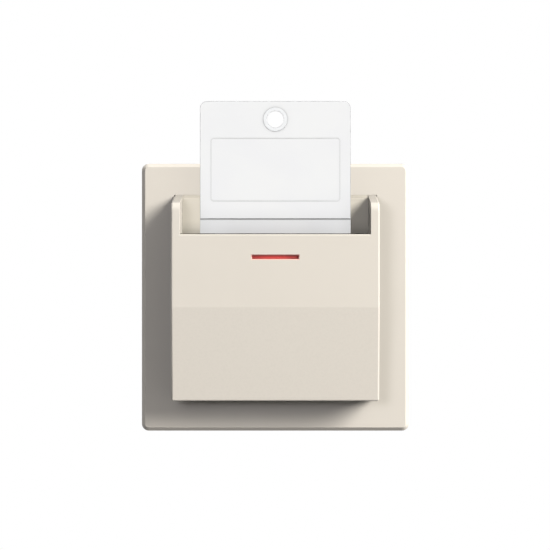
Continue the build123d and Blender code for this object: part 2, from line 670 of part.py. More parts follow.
# ================================================================ clamp springs and release buttons
clamps = []
for sx in (-1, 1):
    for sz in (-1, 1):
        x0, x1 = sx * entry_x - 4.2, sx * entry_x + 4.2

        def P(y, z):
            return (-y, sz * z)
        zi = 9.4                        # leg that lies on the inner side
        strip = [
            P(20.0, zi), P(12.8, zi), P(11.6, zi + 0.6), P(11.2, zi + 1.7), P(11.8, zi + 2.6),
            P(19.6, bar_z - 0.06), P(20.0, bar_z - 0.30),
            P(12.2, zi + 2.3), P(11.6, zi + 1.7), P(11.9, zi + 0.95), P(12.9, zi + 0.4),
            P(20.0, zi + 0.4),
        ]
        clamps.append(prism_x(strip, x0, x1))
save("clamp_springs", clamps)

# each button presses the two clamps on its side
for s, name in ((-1, "release_button_left"), (1, "release_button_right")):
    xb = s * 12.0
    b = bx(xb - 2.0, xb + 2.0, 20.0, base_back_y + 1.6, -3.0, 3.0)
    e = edges_at(b, lambda c, e: abs(c.Y - base_back_y - 1.6) < 1e-3)
    b = soften(b, e, 0.5)
    b += bx(xb - 3.4, xb + 3.4, 22.4, base_back_y - base_rear_wall - 0.05, -4.4, 4.4)
    b += bx(xb - 0.65, xb + 0.65, 21.4, 23.6, -14.4, 14.4)
    b -= bx(xb - 0.4, xb + 0.4, base_back_y + 1.1, base_back_y + 3, -1.6, 1.6)
    save(name, b)

# ================================================================ lamp
board = bd(-9.0, 9.0, 6.02, 7.0, zs - 4.0, zs + 5.8)
for s in (-1, 1):
    board -= cyl_y(s * 7.0, zs, -8, -5, 0.65)
    board -= cyl_y(s * 4.0, 16.4, -8, -5, 0.45)
save("lamp_board", board)

led = bd(-2.0, 2.0, 7.02, 7.7, zs - 1.4, zs + 1.4) + cyl_y(0, zs, -9.6, -7.5, 1.2)
led_edge = ShapeList([e for e in led.edges() if abs(e.center().Y + 9.6) < 1e-3])
led = soften(led, led_edge, 0.9)
save("lamp_led", led)

res = bd(2.2, 5.4, 7.02, 7.65, zs - 3.4, zs - 1.8)
res += bd(2.0, 2.7, 7.02, 7.7, zs - 3.45, zs - 1.75) + bd(4.9, 5.6, 7.02, 7.7, zs - 3.45, zs - 1.75)
save("lamp_resistor", res)

leads = []
for s in (-1, 1):
    y_end = com_y - 0.02
    lead = cyl_y(s * 4.0, 16.4, -7.6, y_end if s < 0 else 4.0, 0.35)
    if s > 0:
        lead = cyl_y(4.0, 16.4, -7.6, 5.0, 0.35) + cyl_x(5.0, 16.4, 4.0, 8.6, 0.35) + cyl_y(8.6, 16.4, 5.0, y_end, 0.35)
        lead += Pos(4.0, 5.0, 16.4) * Sphere(0.35)
        lead += Pos(8.6, 5.0, 16.4) * Sphere(0.35)
    else:
        lead = cyl_y(-4.0, 16.4, -7.6, 5.0, 0.35) + cyl_x(5.0, 16.4, -6.4, -4.0, 0.35) + cyl_y(-6.4, 16.4, 5.0, y_end, 0.35)
        lead += Pos(-4.0, 5.0, 16.4) * Sphere(0.35)
        lead += Pos(-6.4, 5.0, 16.4) * Sphere(0.35)
    leads.append(lead)
save("lamp_leads", leads)

# ================================================================ claws
for s, name in ((-1, "left"), (1, "right")):
    px, py = s * claw_pin_x, claw_pin_y
    z0, z1 = claw_z - 3.6, claw_z + 3.6
    # eye round the pin
    eye = cyl_z(px, py, z0, z1, 1.6)
    arm = bx(min(px, px + s * 1.0), max(px, px + s * 1.0), py, 25.0, z0, z1)
    xw0, xw1 = sorted((px - s * 0.01, px + s * 3))
    leg = bx(min(px, px + s * 5.4), max(px, px + s * 5.4), py - 0.6, py + 0.6, z0, z1)
    claw = eye + arm + leg
    # window in the arm and slot in the leg, for the screw
    claw -= bx(xw0, xw1, py + 0.85, 17.0, claw_z - 1.7, claw_z + 1.7)
    sx0, sx1 = sorted((px + s * 1.0, px + s * 4.5))
    claw -= bx(sx0, sx1, py - 3, py + 3, claw_z - 1.6, claw_z + 1.6)
    # teeth at the tip
    for zt in (claw_z - 2.7, claw_z - 0.9, claw_z + 0.9, claw_z + 2.7):
        t = prism_y([(px + s * 0.8, zt - 0.85), (px + s * 2.6, zt), (px + s * 0.8, zt + 0.85)], 22.5, 24.9)
        claw += t
    claw -= cyl_z(px, py, z0 - 1, z1 + 1, 0.86)
    save(f"claw_{name}", claw)
    # screw: head in front of the yoke, thread through the leg
    cx = s * claw_screw_x
    scr = cyl_y(cx, claw_z, -yoke_t - 0.02, 13.0, 1.2)
    scr += cyl_y(cx, claw_z, -yoke_t - 0.02 - 1.6, -yoke_t - 0.02, 2.5)
    scr -= bx(cx - 3, cx + 3, -yoke_t - 2.5, -yoke_t - 0.9, claw_z - 0.35, claw_z + 0.35)
    scr_e = ShapeList([e for e in scr.edges() if abs(e.center().Y - 13.0) < 1e-3])
    scr = soften(scr, scr_e, 0.4)
    save(f"claw_screw_{name}", scr)

pins = [
    cyl_z(s * claw_pin_x, claw_pin_y, -16.8, -5.2, 0.78)
    for s in (-1, 1)
]
save("claw_pins", pins)
print("wedge and blade: plunger travel", round(carriage_travel * wedge_slope, 3),
      "blade angle", round(math.degrees(theta), 4), "tip travel", round(move, 3))
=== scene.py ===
"""Looks of the wall-mounted key card switch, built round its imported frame.

Lengths are metres in the part's frame: X to the right, Z up, Y into the wall.
"""

import math

import bpy
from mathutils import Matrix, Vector


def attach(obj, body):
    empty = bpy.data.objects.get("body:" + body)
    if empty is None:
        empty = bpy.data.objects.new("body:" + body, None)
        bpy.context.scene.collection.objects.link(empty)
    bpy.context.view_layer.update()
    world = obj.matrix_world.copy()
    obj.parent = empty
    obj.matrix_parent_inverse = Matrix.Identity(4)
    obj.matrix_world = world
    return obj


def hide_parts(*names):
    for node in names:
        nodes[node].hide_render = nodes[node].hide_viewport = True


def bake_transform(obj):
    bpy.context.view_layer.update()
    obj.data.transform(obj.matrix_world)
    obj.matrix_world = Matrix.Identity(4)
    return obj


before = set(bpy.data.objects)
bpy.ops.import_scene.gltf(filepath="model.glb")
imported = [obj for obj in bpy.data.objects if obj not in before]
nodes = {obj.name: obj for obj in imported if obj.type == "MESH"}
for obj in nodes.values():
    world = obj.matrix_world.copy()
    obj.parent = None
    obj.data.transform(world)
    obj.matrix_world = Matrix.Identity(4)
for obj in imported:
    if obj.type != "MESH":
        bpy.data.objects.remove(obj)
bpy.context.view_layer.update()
scene = bpy.context.scene
MM = 0.001


# ------------------------------------------------------------------ small helpers
def lin(r, g, b):
    """An 8 bit sRGB colour as linear RGBA."""
    out = []
    for v in (r, g, b):
        v /= 255.0
        out.append(v / 12.92 if v <= 0.04045 else ((v + 0.055) / 1.055) ** 2.4)
    return (*out, 1.0)


def scaled(c, k):
    return (min(1.0, c[0] * k), min(1.0, c[1] * k), min(1.0, c[2] * k), 1.0)


class Mat:
    """A material's node tree, with short names for the nodes that are used here."""

    def __init__(self, name):
        self.m = bpy.data.materials.new(name)
        self.m.use_nodes = True
        self.t = self.m.node_tree
        self.t.nodes.clear()
        self.out = self.t.nodes.new("ShaderNodeOutputMaterial")
        self.bsdf = self.t.nodes.new("ShaderNodeBsdfPrincipled")
        self.link(self.bsdf.outputs[0], self.out.inputs[0])
        self.co = self.t.nodes.new("ShaderNodeTexCoord").outputs["Object"]
        self._sep = None

    def link(self, a, b):
        self.t.links.new(a, b)

    def set(self, **values):
        for k, v in values.items():
            self.bsdf.inputs[k.replace("_", " ")].default_value = v
        return self

    def xyz(self):
        if self._sep is None:
            n = self.t.nodes.new("ShaderNodeSeparateXYZ")
            self.link(self.co, n.inputs[0])
            self._sep = n.outputs
        return self._sep

    def stretched(self, sx, sy, sz):
        n = self.t.nodes.new("ShaderNodeMapping")
        n.inputs["Scale"].default_value = (sx, sy, sz)
        self.link(self.co, n.inputs["Vector"])
        return n.outputs[0]

    def noise(self, size_mm, detail=2.0, rough=0.5, co=None, distortion=0.0):
        n = self.t.nodes.new("ShaderNodeTexNoise")
        n.inputs["Scale"].default_value = 1000.0 / size_mm
        n.inputs["Detail"].default_value = detail
        n.inputs["Roughness"].default_value = rough
        n.inputs["Distortion"].default_value = distortion
        self.link(co or self.co, n.inputs["Vector"])
        return n.outputs[0]

    def voronoi(self, size_mm, feature="F1", co=None, out=0):
        n = self.t.nodes.new("ShaderNodeTexVoronoi")
        n.feature = feature
        n.inputs["Scale"].default_value = 1000.0 / size_mm
        self.link(co or self.co, n.inputs["Vector"])
        return n.outputs[out]

    def span(self, value, a, b, lo=0.0, hi=1.0, smooth=True):
        """value, taken from a..b to lo..hi and held there."""
        n = self.t.nodes.new("ShaderNodeMapRange")
        n.interpolation_type = "SMOOTHSTEP" if smooth else "LINEAR"
        n.clamp = True
        self.link(value, n.inputs["Value"])
        for k, v in (("From Min", a), ("From Max", b), ("To Min", lo), ("To Max", hi)):
            n.inputs[k].default_value = v
        return n.outputs[0]

    def math(self, op, a, b=None):
        n = self.t.nodes.new("ShaderNodeMath")
        n.operation = op
        for i, v in enumerate((a, b)):
            if v is None:
                continue
            if isinstance(v, (int, float)):
                n.inputs[i].default_value = v
            else:
                self.link(v, n.inputs[i])
        return n.outputs[0]

    def mix(self, fac, a, b, mode="MIX"):
        n = self.t.nodes.new("ShaderNodeMix")
        n.data_type = "RGBA"
        n.blend_type = mode
        for i, v in ((0, fac), (6, a), (7, b)):
            if isinstance(v, (int, float, tuple)):
                n.inputs[i].default_value = v
            else:
                self.link(v, n.inputs[i])
        return n.outputs[2]

    def bump(self, height, depth_mm, strength=1.0, under=None):
        n = self.t.nodes.new("ShaderNodeBump")
        n.inputs["Distance"].default_value = depth_mm * MM
        n.inputs["Strength"].default_value = strength
        self.link(height, n.inputs["Height"])
        if under is not None:
            self.link(under, n.inputs["Normal"])
        return n.outputs[0]

    def occlusion(self, reach_mm, low, samples=24):
        """A painted-shade factor: 1 in the open, low where everything within reach is covered."""
        n = self.t.nodes.new("ShaderNodeAmbientOcclusion")
        n.samples = samples
        n.inputs["Distance"].default_value = reach_mm * MM
        return self.span(n.outputs["AO"], 0.0, 1.0, low, 1.0, smooth=False)

    def normal_xyz(self):
        """The surface's direction, in the part's own axes."""
        n = self.t.nodes.new("ShaderNodeSeparateXYZ")
        self.link(self.t.nodes.new("ShaderNodeTexCoord").outputs["Normal"], n.inputs[0])
        return n.outputs

    def all_of(self, *factors):
        """The product of several number sockets."""
        out = factors[0]
        for f in factors[1:]:
            out = self.math("MULTIPLY", out, f)
        return out

    def times(self, colour, factor):
        """A colour multiplied by a number socket."""
        n = self.t.nodes.new("ShaderNodeVectorMath")
        n.operation = "SCALE"
        self.link(colour, n.inputs[0])
        self.link(factor, n.inputs["Scale"])
        return n.outputs[0]

    def colour(self, socket):
        self.link(socket, self.bsdf.inputs["Base Color"])

    def rough(self, socket):
        self.link(socket, self.bsdf.inputs["Roughness"])

    def normal(self, socket):
        self.link(socket, self.bsdf.inputs["Normal"])


# ------------------------------------------------------------------ moulded plastics
def moulded(name, colour, rough=0.42, tone=0.02, grain_mm=0.35, grain_depth=0.006,
            cloud_mm=14.0, specular=0.5, warm=None):
    """Injection moulded plastic: faint flow clouds, a fine eroded grain, and its gloss."""
    k = Mat(name)
    cloud = k.noise(cloud_mm, 3.0, 0.55)
    fine = k.noise(grain_mm, 2.0, 0.6)
    dark, light = scaled(colour, 1 - tone), scaled(colour, 1 + tone)
    base = k.mix(k.span(cloud, 0.35, 0.65), dark, light)
    base = k.mix(k.span(fine, 0.3, 0.7, 0.0, 0.5), base, scaled(warm or dark, 1.0))
    k.colour(base)
    k.rough(k.span(fine, 0.3, 0.7, rough - 0.05, rough + 0.05))
    k.normal(k.bump(fine, grain_depth))
    k.set(Specular_IOR_Level=specular)
    return k


cream = scaled(lin(230, 222, 211), 1.0)

frame_plastic = moulded("frame_plastic", scaled(cream, 1.04), rough=0.36, tone=0.008, grain_mm=0.5,
                        grain_depth=0.0035, cloud_mm=22.0).m

# the holder: polished above the crease, eroded grain on the leaning face below it
k = Mat("holder_plastic")
x, y, z = k.xyz()
on_face = k.math("MULTIPLY", k.span(z, -2.75 * MM, -3.25 * MM), k.span(y, -21.0 * MM, -22.0 * MM))
cloud = k.noise(22.0, 3.0, 0.55)
fine = k.noise(0.5, 2.0, 0.6)
spark = k.noise(0.8, 3.0, 0.6)
cells = k.voronoi(0.7)
grain = k.mix(0.3, spark, cells)
base = k.mix(k.span(cloud, 0.35, 0.65), scaled(cream, 0.994), scaled(cream, 1.006))
speck = k.span(grain, 0.32, 0.62, 0.0, 1.0)
grained = k.mix(speck, scaled(cream, 0.983), scaled(cream, 1.004))
face = k.mix(on_face, base, grained)
# painted reflection and light: the slit's rounded edges are tinted with the lens's red, a light pink on the lower
# edge, which catches the light, and a darker pink on the shaded upper edge
off = k.math("ABSOLUTE", k.math("SUBTRACT", z, 11.975 * MM))
by_slit = k.all_of(k.span(k.math("ABSOLUTE", x), 7.2 * MM, 7.0 * MM), k.span(off, 0.86 * MM, 0.74 * MM),
                   k.span(y, -25.6 * MM, -25.9 * MM))
over = k.math("GREATER_THAN", z, 11.975 * MM)
red = k.mix(over, lin(255, 204, 190), lin(192, 138, 130))
face = k.mix(by_slit, face, red)
# painted light: a faint emission on the slit's upper edge stands in for the lens's glow falling on it
k.set(Emission_Color=lin(232, 164, 156))
k.link(k.math("MULTIPLY", k.all_of(by_slit, over, k.span(off, 0.70 * MM, 0.58 * MM)), 0.20),
       k.bsdf.inputs["Emission Strength"])
nx, ny, nz = k.normal_xyz()
# painted shade: the cheeks' sloping tops, above 26 mm, are made up to a fifth darker where they face up
slope_painted_shade = k.math("MULTIPLY", k.span(nz, 0.90, 0.98, 0.0, 0.20), k.span(z, 26.0 * MM, 27.0 * MM))
k.colour(k.times(face, k.math("SUBTRACT", 1.0, slope_painted_shade)))
k.rough(k.math("ADD", k.span(fine, 0.3, 0.7, 0.32, 0.40), k.math("MULTIPLY", on_face, 0.14)))
smooth_bump = k.bump(fine, 0.0025)
grain_node = k.t.nodes.new("ShaderNodeBump")
grain_node.inputs["Distance"].default_value = 0.007 * MM
k.link(on_face, grain_node.inputs["Strength"])
k.link(grain, grain_node.inputs["Height"])
k.link(smooth_bump, grain_node.inputs["Normal"])
k.normal(grain_node.outputs[0])
k.set(Specular_IOR_Level=0.5)
holder_plastic = k.m

# the back plate: the same plastic, painted lighter and yellower as if lit by light bounced in the pocket, and
# with painted shade towards the depth of the pocket, along the upward-facing strip at its upper edge and at the
# right of that edge
k = Mat("plate_plastic")
x, y, z = k.xyz()
cloud = k.noise(22.0, 3.0, 0.55)
fine = k.noise(0.5, 2.0, 0.6)
# painted light: a lighter, yellower cream than the holder's stands in for light bounced inside the pocket
plate_painted_bounce_tone = (cream[0] * 1.06, cream[1] * 1.055, cream[2] * 1.01, 1.0)
base = k.mix(k.span(cloud, 0.35, 0.65), scaled(plate_painted_bounce_tone, 0.99), scaled(plate_painted_bounce_tone, 1.004))
in_pocket = k.span(y, -10.5 * MM, -11.5 * MM)
nx, ny, nz = k.normal_xyz()
# painted shade: the upward-facing strip along the plate's upper edge is darkened
upper_painted_shade = k.math("MULTIPLY", k.span(nz, 0.80, 0.93, 0.0, 0.12), k.span(z, 29.0 * MM, 29.6 * MM))
# painted shade: darker towards the depth of the pocket, below about 23.5 mm
depth = k.math("ADD", k.span(z, 23.5 * MM, 20.5 * MM, 0.0, 0.14), k.span(z, 21.4 * MM, 19.2 * MM, 0.0, 0.22))
# painted shade: a soft darkening at the right of the upper edge, where the cheek's shadow falls
corner_painted_shade = k.all_of(k.span(x, 17.0 * MM, 21.0 * MM), k.span(z, 28.2 * MM, 29.2 * MM, 0.0, 0.085),
                  k.span(z, 30.5 * MM, 30.0 * MM))
upper_painted_shade = k.math("ADD", upper_painted_shade, corner_painted_shade)
plate_painted_shade = k.math("SUBTRACT", 1.0, k.math("ADD", upper_painted_shade, k.math("MULTIPLY", depth, in_pocket)))
k.colour(k.times(base, plate_painted_shade))
k.rough(k.span(fine, 0.3, 0.7, 0.38, 0.46))
k.normal(k.bump(fine, 0.003))
k.set(Specular_IOR_Level=0.4)
plate_plastic = k.m

# the card: white, with its sunk lines told apart by their depth; the blade below the thicker upper part is a
# slightly darker white, painted shade, and its deepest sunk faces are painted grey, painted shadow
k = Mat("card_white")
x, y, z = k.xyz()
cloud = k.noise(16.0, 2.0, 0.5)
fine = k.noise(0.4, 2.0, 0.55)
white = k.mix(k.span(cloud, 0.35, 0.65), lin(246, 246, 247), lin(248, 248, 248))
# painted shade: the blade's slightly darker white
blade = k.mix(k.span(cloud, 0.35, 0.65), lin(241, 241, 242), lin(243, 243, 243))
front = k.span(y, -18.3 * MM, -18.35 * MM)
low = k.math("MULTIPLY", front, k.span(y, -18.79 * MM, -18.76 * MM))
line = k.math("MULTIPLY", front, k.span(y, -18.73 * MM, -18.70 * MM))
step_groove_painted_shadow = k.math("MULTIPLY", front, k.span(y, -18.62 * MM, -18.55 * MM))
inside = k.math("LESS_THAN", z, 23.7 * MM)
c = k.mix(k.math("MULTIPLY", low, inside), white, blade)
c = k.mix(line, c, lin(247, 247, 247))
# painted shadow: the deepest sunk faces below 23.7 mm are painted grey
c = k.mix(k.math("MULTIPLY", step_groove_painted_shadow, inside), c, lin(190, 190, 190))
nx, ny, nz = k.normal_xyz()
edge = k.span(k.math("ABSOLUTE", ny), 0.985, 0.80)
# the card's cut edges are a greyer white, and painted shade makes those that face up darker still
edge_tone_with_painted_shade = k.mix(k.span(nz, 0.1, 0.8), lin(188, 188, 189), lin(140, 141, 142))
# painted shade: occlusion within 10 mm darkens the card's colour, down to 0.37
shade = k.occlusion(10.0, 0.37)
# painted shade: the occlusion darkens the card less towards its sides, and other edges take half of it; the edge
# that faces the dark of the pocket is painted lighter instead, painted light
lost = k.math("SUBTRACT", 1.0, shade)
open_side = k.span(k.math("ABSOLUTE", x), 11.0 * MM, 21.0 * MM, 1.0, 0.70)
on_face = k.math("SUBTRACT", 1.0, k.math("MULTIPLY", lost, open_side))
on_edge = k.math("SUBTRACT", 1.0, k.math("MULTIPLY", lost, k.span(nx, 0.2, 0.6, 0.5, -1.4)))
k.colour(k.mix(edge, k.times(c, on_face), k.times(edge_tone_with_painted_shade, on_edge)))
# painted light: a faint emission on the edges that face the dark of the pocket
k.set(Emission_Color=lin(246, 246, 244))
k.link(k.math("MULTIPLY", k.all_of(edge, k.span(nx, 0.2, 0.6), lost), 0.4), k.bsdf.inputs["Emission Strength"])
k.rough(k.span(fine, 0.3, 0.7, 0.42, 0.52))
k.normal(k.bump(fine, 0.002))
k.set(Specular_IOR_Level=0.45)
card_white = k.m

# the eyelet: painted shade makes its rolled edges read darker all the way round, most where they face up, and
# occlusion darkens its face a little
k = Mat("eyelet_white")
cloud = k.noise(3.0, 3.0, 0.55)
fine = k.noise(0.3, 2.0, 0.6)
c = k.mix(k.span(cloud, 0.35, 0.65), lin(245, 246, 247), lin(248, 249, 250))
nx, ny, nz = k.normal_xyz()
edge = k.span(k.math("ABSOLUTE", ny), 0.985, 0.80)
edge_tone_with_painted_shade = k.mix(k.span(nz, -0.6, 0.8), lin(247, 247, 248), lin(189, 190, 191))
k.colour(k.mix(edge, k.times(c, k.occlusion(4.0, 0.80)), edge_tone_with_painted_shade))
# painted light: a faint emission on the edges that face down and left stands in for light from the card
k.set(Emission_Color=lin(246, 246, 246))
leaning = k.math("MAXIMUM", k.span(nz, 0.1, -0.8), k.span(nx, -0.3, -1.0, 0.0, 0.6))
k.link(k.math("MULTIPLY", k.math("MULTIPLY", edge, leaning), 0.30), k.bsdf.inputs["Emission Strength"])
k.rough(k.span(fine, 0.3, 0.7, 0.25, 0.35))
k.normal(k.bump(fine, 0.0015))
eyelet_white = k.m

# the red lens: a frosted face over a deep red body, darker towards both ends, with a painted glow as if lit a
# little from behind, weaker on its upper part and at its right end, where shade falls
k = Mat("lens_red")
x, y, z = k.xyz()
fine = k.noise(0.6, 2.0, 0.5)
ends = k.span(k.math("ABSOLUTE", x), 2.5 * MM, 6.9 * MM)
body = k.mix(ends, lin(158, 74, 70), lin(132, 54, 52))
k.colour(k.mix(k.span(fine, 0.3, 0.7), body, lin(150, 68, 64)))
glow = k.mix(ends, lin(222, 52, 49), lin(186, 46, 44))
k.link(glow, k.bsdf.inputs["Emission Color"])
# painted shade: the glow is weaker on the lens's upper part and at its right end
level = k.span(z, 12.25 * MM, 11.75 * MM, 0.46, 0.96)
across = k.math("MINIMUM", k.span(x, 6.9 * MM, 1.0 * MM, 0.24, 0.60), k.span(x, -6.9 * MM, -1.0 * MM, 0.46, 0.60))
k.link(k.math("MULTIPLY", level, across), k.bsdf.inputs["Emission Strength"])
k.rough(k.span(fine, 0.3, 0.7, 0.34, 0.44))
k.set(Specular_IOR_Level=0.5)
lens_red = k.m

# the light pipe: clear, faintly frosted
k = Mat("clear_plastic")
fine = k.noise(0.5, 2.0, 0.5)
k.colour(k.mix(fine, lin(236, 240, 242), lin(248, 250, 251)))
k.rough(k.span(fine, 0.3, 0.7, 0.10, 0.22))
k.normal(k.bump(fine, 0.002))
k.set(Transmission_Weight=0.85, IOR=1.49)
clear_plastic = k.m

carriage_grey = moulded("carriage_grey", lin(176, 178, 178), rough=0.38, tone=0.03, grain_mm=0.3,
                        grain_depth=0.004, cloud_mm=9.0).m
base_plastic = moulded("base_plastic", lin(226, 227, 224), rough=0.46, tone=0.015, grain_mm=0.28,
                       grain_depth=0.008, cloud_mm=12.0).m
lid_plastic = moulded("lid_plastic", lin(200, 202, 201), rough=0.44, tone=0.02, grain_mm=0.28,
                      grain_depth=0.007, cloud_mm=12.0).m
button_orange = moulded("button_orange", lin(226, 104, 28), rough=0.40, tone=0.03, grain_mm=0.25,
                        grain_depth=0.006, cloud_mm=6.0).m


# ------------------------------------------------------------------ metals and the lamp's parts
def metal(name, dark, light, rough, brush=(1.0, 1.0, 1.0), grain_mm=0.25, cloud_mm=6.0,
          depth=0.004, spread=0.08):
    """Plated or rolled metal: cloudy plating, drawn or rolled lines, uneven gloss."""
    k = Mat(name)
    cloud = k.noise(cloud_mm, 4.0, 0.6, distortion=0.4)
    lines = k.noise(grain_mm, 2.0, 0.6, co=k.stretched(*brush))
    k.colour(k.mix(k.span(cloud, 0.3, 0.7), dark, light))
    both = k.mix(0.5, cloud, lines)
    k.rough(k.span(both, 0.3, 0.7, rough - spread, rough + spread))
    k.normal(k.bump(lines, depth))
    k.set(Metallic=1.0)
    return k


zinc_steel = metal("zinc_steel", lin(196, 199, 202), lin(212, 214, 217), 0.38,
                   brush=(0.05, 1.0, 1.0), grain_mm=0.10, cloud_mm=16.0, depth=0.002, spread=0.05).m
spring_steel = metal("spring_steel", lin(150, 152, 156), lin(196, 198, 202), 0.26,
                     brush=(1.0, 1.0, 1.0), grain_mm=0.10, cloud_mm=2.0, depth=0.001).m
leaf_bronze = metal("leaf_bronze", lin(176, 122, 78), lin(206, 154, 102), 0.30,
                    brush=(1.0, 1.0, 0.08), grain_mm=0.10, cloud_mm=4.0, depth=0.002).m
brass_strip = metal("brass_strip", lin(186, 154, 84), lin(214, 184, 112), 0.30,
                    brush=(0.08, 1.0, 1.0), grain_mm=0.10, cloud_mm=5.0, depth=0.002).m
silver_tip = metal("silver_tip", lin(206, 206, 204), lin(230, 230, 228), 0.24,
                   grain_mm=0.15, cloud_mm=0.8, depth=0.002).m
tinned_wire = metal("tinned_wire", lin(190, 192, 192), lin(216, 217, 216), 0.32,
                    grain_mm=0.15, cloud_mm=1.5, depth=0.001).m

# the strip in the card slot: a dark sheet standing in for the shadow gap above the lip, painted nearly black at
# its right end, where the cheek's shade falls, and lighter at its left end, where light falls
k = Mat("slot_shade_sheet")
sheet_noise = k.noise(0.09, 3.0, 0.7, co=k.stretched(0.35, 1.0, 1.0))
cloud = k.noise(3.0, 2.0, 0.5)
x, y, z = k.xyz()
c = k.mix(k.span(sheet_noise, 0.3, 0.7), lin(42, 38, 30), lin(66, 60, 48))
# painted shade: nearly black towards the right end
c = k.mix(k.span(x, 22.0 * MM, 24.0 * MM), c, lin(12, 11, 10))
# painted light: lighter towards the left end
c = k.mix(k.span(x, -22.0 * MM, -24.0 * MM), c, k.mix(sheet_noise, lin(102, 97, 85), lin(130, 124, 109)))
k.colour(k.mix(k.span(cloud, 0.35, 0.65, 0.0, 0.3), c, lin(54, 52, 49)))
k.rough(k.span(sheet_noise, 0.3, 0.7, 0.85, 0.98))
k.normal(k.bump(sheet_noise, 0.02))
k.set(Specular_IOR_Level=0.2)
slot_shade_sheet = k.m

# circuit board: green lacquer over a weave
k = Mat("board_green")
weave = k.voronoi(0.35)
cloud = k.noise(4.0, 3.0, 0.55)
c = k.mix(k.span(weave, 0.2, 0.8), lin(24, 88, 52), lin(38, 112, 66))
k.colour(k.mix(k.span(cloud, 0.35, 0.65, 0.0, 0.5), c, lin(30, 98, 62)))
k.rough(k.span(cloud, 0.3, 0.7, 0.28, 0.40))
k.normal(k.bump(weave, 0.004))
k.set(Coat_Weight=0.3, Coat_Roughness=0.2)
board_green = k.m

k = Mat("led_clear")
fine = k.noise(0.3, 2.0, 0.5)
k.colour(k.mix(fine, lin(250, 232, 226), lin(252, 244, 238)))
k.rough(k.span(fine, 0.3, 0.7, 0.06, 0.14))
k.set(Transmission_Weight=0.7, IOR=1.52)
led_clear = k.m

k = Mat("resistor_black")
fine = k.noise(0.12, 2.0, 0.5)
x, y, z = k.xyz()
body = k.mix(fine, lin(22, 22, 24), lin(40, 40, 42))
ends = k.math("MAXIMUM", k.math("LESS_THAN", x, 2.72 * MM), k.math("GREATER_THAN", x, 4.88 * MM))
k.colour(k.mix(ends, body, lin(200, 202, 202)))
k.link(ends, k.bsdf.inputs["Metallic"])
k.rough(k.span(fine, 0.3, 0.7, 0.30, 0.45))
resistor_black = k.m

FINISH = {
    "outer_frame": frame_plastic,
    "card_holder_cover": holder_plastic,
    "pocket_back_plate": plate_plastic,
    "indicator_lens": lens_red,
    "slot_edge_strip": slot_shade_sheet,
    "light_pipe": clear_plastic,
    "key_card": card_white,
    "card_eyelet": eyelet_white,
    "card_leaf_springs": leaf_bronze,
    "leaf_spring_rivets": brass_strip,
    "card_carriage": carriage_grey,
    "carriage_return_springs": spring_steel,
    "mounting_yoke": zinc_steel,
    "mechanism_base": base_plastic,
    "mechanism_cover": lid_plastic,
    "cover_screws": zinc_steel,
    "plunger": carriage_grey,
    "contact_blade": leaf_bronze,
    "moving_contact_tip": silver_tip,
    "common_terminal": brass_strip,
    "blade_rivet": brass_strip,
    "neutral_terminal": brass_strip,
    "contact_strip_open": brass_strip,
    "contact_strip_closed": brass_strip,
    "fixed_contact_tips": silver_tip,
    "clamp_springs": spring_steel,
    "release_button_left": button_orange,
    "release_button_right": button_orange,
    "lamp_board": board_green,
    "lamp_led": led_clear,
    "lamp_resistor": resistor_black,
    "lamp_leads": tinned_wire,
    "claw_left": zinc_steel,
    "claw_right": zinc_steel,
    "claw_screw_left": zinc_steel,
    "claw_screw_right": zinc_steel,
    "claw_pins": spring_steel,
}
for name, mat in FINISH.items():
    o = nodes[name]
    if not o.material_slots:
        o.data.materials.append(mat)
    for s in o.material_slots:
        s.material = mat

# ------------------------------------------------------------------ wire springs under the carriage
def coil(name, cx, cy, z0, z1, radius, wire, closed, active, sides=12, per_turn=40):
    """A compression spring with closed, squared ends, as a mesh tube round its own helix."""
    rise = wire * 1.03 * closed
    free = (z1 - z0) - wire - 2 * rise
    total = 2 * closed + active
    rings = []
    count = int(total * per_turn)
    for i in range(count + 1):
        t = total * i / count
        if t <= closed:
            z = rise * t / closed
        elif t >= closed + active:
            z = rise + free + rise * (t - closed - active) / closed
        else:
            z = rise + free * (t - closed) / active
        a = 2 * math.pi * t
        rings.append((Vector((cx + radius * math.cos(a), cy + radius * math.sin(a), z0 + wire / 2 + z)),
                      Vector((math.cos(a), math.sin(a), 0.0))))
    verts, faces = [], []
    for i, (c, out) in enumerate(rings):
        before, after = rings[max(i - 1, 0)][0], rings[min(i + 1, count)][0]
        along = (after - before).normalized()
        up = out.cross(along).normalized()
        side = along.cross(up).normalized()
        # the wire's ends are ground to a short taper
        end = min(i, count - i)
        r = wire / 2 * (0.55 + 0.45 * min(1.0, end / 3.0))
        for s in range(sides):
            b = 2 * math.pi * s / sides
            verts.append(c + side * (r * math.cos(b)) + up * (r * math.sin(b)))
    for i in range(count):
        for s in range(sides):
            a0, a1 = i * sides + s, i * sides + (s + 1) % sides
            faces.append((a0, a1, a1 + sides, a0 + sides))
    faces.append(tuple(range(sides - 1, -1, -1)))
    faces.append(tuple(count * sides + s for s in range(sides)))
    mesh = bpy.data.meshes.new(name)
    mesh.from_pydata([tuple(v) for v in verts], [], faces)
    mesh.update()
    for poly in mesh.polygons:
        poly.use_smooth = len(poly.vertices) == 4
    return mesh


for side in (-1, 1):
    mesh = coil("return_coil", side * 16.0 * MM, -17.0 * MM, -28.47 * MM, -25.06 * MM, 1.75 * MM,
                0.45 * MM, 1.0, 3.0)
    o = bpy.data.objects.new("return_spring_left" if side < 0 else "return_spring_right", mesh)
    scene.collection.objects.link(o)
    o.data.materials.append(spring_steel)
    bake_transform(o)
    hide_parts("carriage_return_springs")

